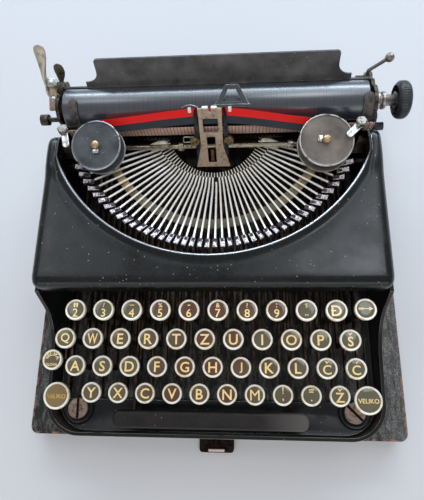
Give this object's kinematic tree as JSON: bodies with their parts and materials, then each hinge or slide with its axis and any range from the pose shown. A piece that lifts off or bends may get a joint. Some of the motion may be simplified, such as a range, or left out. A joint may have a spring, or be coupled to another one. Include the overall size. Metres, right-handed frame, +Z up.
{
  "type": "portable typewriter",
  "caption": "Portable typewriter on its case base: four rows of round keys, a fan of type bars under a crescent hood, two ribbon spools and a sliding carriage with a rubber platen.",
  "frame": {"origin": "middle of the case base's underside", "axes": "+X to the right of the typist, +Y away from the typist, +Z up"},
  "size_m": [0.286, 0.2925, 0.1349],
  "materials": {
    "covered_board": "worn black bookcloth over wood",
    "aged_steel": "dull, handled",
    "rubber": "matt",
    "black_enamel": "gloss black stoving enamel, dusty",
    "lever_steel": "browned strip steel",
    "nickel": "worn nickel plate",
    "legend_card": "printed card under glass",
    "dark_plastic": "rubbed black",
    "segment_metal": "machined, yellowed",
    "felt_pad": "worn tan pad",
    "dark_steel": "blued",
    "ribbon_cloth": "inked cotton, red over black",
    "spool_black": "worn black",
    "spool_brown": "browned tinplate",
    "platen_rubber": "ground rubber",
    "scale_enamel": "tan, ruled",
    "brass": "dull"
  },
  "bodies": {
    "frame": {"base_board": "covered_board", "base_latch": "aged_steel", "hold_down_screws": "aged_steel", "machine_feet": "rubber", "lower_body": "black_enamel", "hood": "black_enamel", "key_comb": "lever_steel", "key_fulcrum_rod": "aged_steel", "type_segment": "segment_metal", "segment_wire": "aged_steel", "type_rest": "felt_pad", "type_bars": "nickel", "type_guide": "dark_steel", "guide_screws": "aged_steel", "ribbon": "ribbon_cloth", "spool_brackets": "aged_steel", "card_holder": "black_enamel", "carriage_rail": "aged_steel"},
    "key_row_1": {"key_levers_row_1": "lever_steel", "key_rims_row_1": "nickel", "key_faces_row_1": "legend_card"},
    "key_row_2": {"key_levers_row_2": "lever_steel", "key_rims_row_2": "nickel", "key_faces_row_2": "legend_card"},
    "key_row_3": {"key_levers_row_3": "lever_steel", "key_rims_row_3": "nickel", "key_faces_row_3": "legend_card"},
    "key_row_4": {"key_levers_row_4": "lever_steel", "key_rims_row_4": "nickel", "key_faces_row_4": "legend_card"},
    "centre_key": {"centre_key": "nickel"},
    "centre_type_bar": {"centre_type_bar": "nickel"},
    "ribbon_vibrator": {"ribbon_vibrator": "segment_metal"},
    "shift": {"shift_yoke": "lever_steel", "shift_key_tops": "nickel"},
    "shift_lock": {"shift_lock_key": "nickel"},
    "backspace": {"backspace_key": "nickel"},
    "space_bar": {"space_bar": "dark_plastic"},
    "ribbon_feed_shaft": {"ribbon_feed_shaft": "nickel"},
    "spool_left": {"spool_left": "spool_black"},
    "spool_right": {"spool_right": "spool_brown"},
    "reverse_lever_left": {"reverse_lever_left": "nickel"},
    "reverse_lever_right": {"reverse_lever_right": "nickel"},
    "carriage": {"carriage_frame": "black_enamel"},
    "platen_carrier": {"carriage_end_left": "black_enamel", "carriage_end_right": "black_enamel", "paper_table": "black_enamel", "paper_scale": "scale_enamel", "margin_rack": "dark_steel", "paper_fingers": "black_enamel"},
    "platen": {"platen": "platen_rubber", "platen_shaft": "nickel", "platen_knob": "dark_plastic"},
    "feed_roller": {"feed_roller": "platen_rubber"},
    "return_lever": {"return_lever": "nickel"},
    "paper_release_lever": {"paper_release_lever": "dark_steel"},
    "carriage_release_lever": {"carriage_release_lever": "nickel"},
    "detent_lever": {"detent_lever": "black_enamel"},
    "mainspring_drum": {"mainspring_drum": "brass"},
    "escape_wheel": {"escape_wheel": "brass"}
  },
  "joints": [
    {"name": "key_row_1_press", "type": "hinge", "parent": "frame", "child": "key_row_1", "pos_m": [0, 0.075, 0.037], "axis": [1, 0, 0], "range_deg": [0, 3.7], "stiffness_Nm_per_rad": 3, "springref_deg": -20.05},
    {"name": "key_row_2_press", "type": "hinge", "parent": "frame", "child": "key_row_2", "pos_m": [0, 0.075, 0.037], "axis": [1, 0, 0], "range_deg": [0, 3.7], "stiffness_Nm_per_rad": 3, "springref_deg": -20.05},
    {"name": "key_row_3_press", "type": "hinge", "parent": "frame", "child": "key_row_3", "pos_m": [0, 0.075, 0.037], "axis": [1, 0, 0], "range_deg": [0, 3.7], "stiffness_Nm_per_rad": 3, "springref_deg": -20.05},
    {"name": "key_row_4_press", "type": "hinge", "parent": "frame", "child": "key_row_4", "pos_m": [0, 0.075, 0.037], "axis": [1, 0, 0], "range_deg": [0, 3.7], "stiffness_Nm_per_rad": 3, "springref_deg": -20.05},
    {"name": "centre_key_press", "type": "hinge", "parent": "frame", "child": "centre_key", "pos_m": [0, 0.075, 0.037], "axis": [1, 0, 0], "range_deg": [0, 3.7], "stiffness_Nm_per_rad": 0.4, "springref_deg": -20.05},
    {"name": "centre_type_bar_swing", "type": "hinge", "parent": "frame", "child": "centre_type_bar", "pos_m": [0.0015, 0.05226, 0.04895], "axis": [-0.9995, -0.0277, -0.0119], "range_deg": [0, 87.3]},
    {"name": "ribbon_lift", "type": "slide", "parent": "frame", "child": "ribbon_vibrator", "axis": [0, 0.3387, 0.9409], "range_m": [0, 0.0058]},
    {"name": "shift_press", "type": "hinge", "parent": "frame", "child": "shift", "pos_m": [0, 0.075, 0.037], "axis": [1, 0, 0], "range_deg": [0, 2.4], "stiffness_Nm_per_rad": 4, "springref_deg": -14.32},
    {"name": "shift_lock_press", "type": "hinge", "parent": "frame", "child": "shift_lock", "pos_m": [0, 0.075, 0.037], "axis": [1, 0, 0], "range_deg": [0, 2], "stiffness_Nm_per_rad": 0.4, "springref_deg": -20.05},
    {"name": "backspace_press", "type": "hinge", "parent": "frame", "child": "backspace", "pos_m": [0, 0.075, 0.037], "axis": [1, 0, 0], "range_deg": [0, 3.7], "stiffness_Nm_per_rad": 0.4, "springref_deg": -20.05},
    {"name": "space_bar_press", "type": "hinge", "parent": "frame", "child": "space_bar", "pos_m": [0, 0.075, 0.037], "axis": [1, 0, 0], "range_deg": [0, 1.9], "stiffness_Nm_per_rad": 3, "springref_deg": -17.19},
    {"name": "feed_shaft_spin", "type": "hinge", "parent": "frame", "child": "ribbon_feed_shaft", "pos_m": [0, 0.0736, 0.079], "axis": [1, 0, 0], "continuous": true},
    {"name": "spool_left_spin", "type": "hinge", "parent": "frame", "child": "spool_left", "pos_m": [-0.08, 0.058, 0.1105], "axis": [0, -0.2419, 0.9703], "continuous": true},
    {"name": "reverse_lever_left_turn", "type": "hinge", "parent": "frame", "child": "reverse_lever_left", "pos_m": [-0.1025, 0.0675, 0.1143], "axis": [0, 0, 1], "range_deg": [-12, 12]},
    {"name": "spool_right_spin", "type": "hinge", "parent": "frame", "child": "spool_right", "pos_m": [0.08, 0.058, 0.1105], "axis": [0, -0.1736, 0.9848], "continuous": true},
    {"name": "reverse_lever_right_turn", "type": "hinge", "parent": "frame", "child": "reverse_lever_right", "pos_m": [0.1025, 0.0675, 0.1143], "axis": [0, 0, 1], "range_deg": [-12, 12]},
    {"name": "carriage_travel", "type": "slide", "parent": "frame", "child": "carriage", "axis": [1, 0, 0], "range_m": [-0.08, 0.08]},
    {"name": "platen_shift", "type": "slide", "parent": "carriage", "child": "platen_carrier", "axis": [0, 0.4633, 0.8862], "range_m": [0, 0.006]},
    {"name": "platen_turn", "type": "hinge", "parent": "platen_carrier", "child": "platen", "pos_m": [0, 0.0952, 0.0995], "axis": [1, 0, 0], "continuous": true},
    {"name": "feed_roller_turn", "type": "hinge", "parent": "platen_carrier", "child": "feed_roller", "pos_m": [0, 0.0886, 0.0813], "axis": [1, 0, 0], "continuous": true},
    {"name": "return_lever_pull", "type": "hinge", "parent": "platen_carrier", "child": "return_lever", "pos_m": [0, 0.1085, 0.106], "axis": [1, 0, 0], "range_deg": [0, 25], "stiffness_Nm_per_rad": 0.1, "springref_deg": -17.19},
    {"name": "paper_release_pull", "type": "hinge", "parent": "platen_carrier", "child": "paper_release_lever", "pos_m": [0, 0.1165, 0.097], "axis": [1, 0, 0], "range_deg": [0, 16]},
    {"name": "carriage_release_pull", "type": "hinge", "parent": "platen_carrier", "child": "carriage_release_lever", "pos_m": [0, 0.1165, 0.097], "axis": [1, 0, 0], "range_deg": [0, 15], "stiffness_Nm_per_rad": 0.05, "springref_deg": -17.19},
    {"name": "detent_turn", "type": "hinge", "parent": "platen_carrier", "child": "detent_lever", "pos_m": [0, 0.087, 0.0925], "axis": [1, 0, 0], "range_deg": [0, 20]},
    {"name": "mainspring_turn", "type": "hinge", "parent": "frame", "child": "mainspring_drum", "pos_m": [-0.078, 0.1, 0.0435], "axis": [0, 1, 0], "range_deg": [-320, 320]},
    {"name": "escape_turn", "type": "hinge", "parent": "frame", "child": "escape_wheel", "pos_m": [0.04, 0.098, 0.0631], "axis": [0, 1, 0], "range_deg": [-800, 800]}
  ],
  "couplings": [
    {"joint": "centre_type_bar_swing", "follows": "centre_key_press", "ratio": 23.595},
    {"joint": "ribbon_lift", "follows": "centre_key_press", "m_per_rad": 0.08982},
    {"joint": "platen_shift", "follows": "shift_press", "m_per_rad": 0.14324},
    {"joint": "feed_shaft_spin", "follows": "spool_left_spin", "ratio": -1},
    {"joint": "spool_right_spin", "follows": "spool_left_spin", "ratio": 1},
    {"joint": "feed_roller_turn", "follows": "platen_turn", "ratio": -2.898},
    {"joint": "mainspring_turn", "follows": "carriage_travel", "rad_per_m": 66.667},
    {"joint": "escape_turn", "follows": "carriage_travel", "rad_per_m": 161.29}
  ]
}
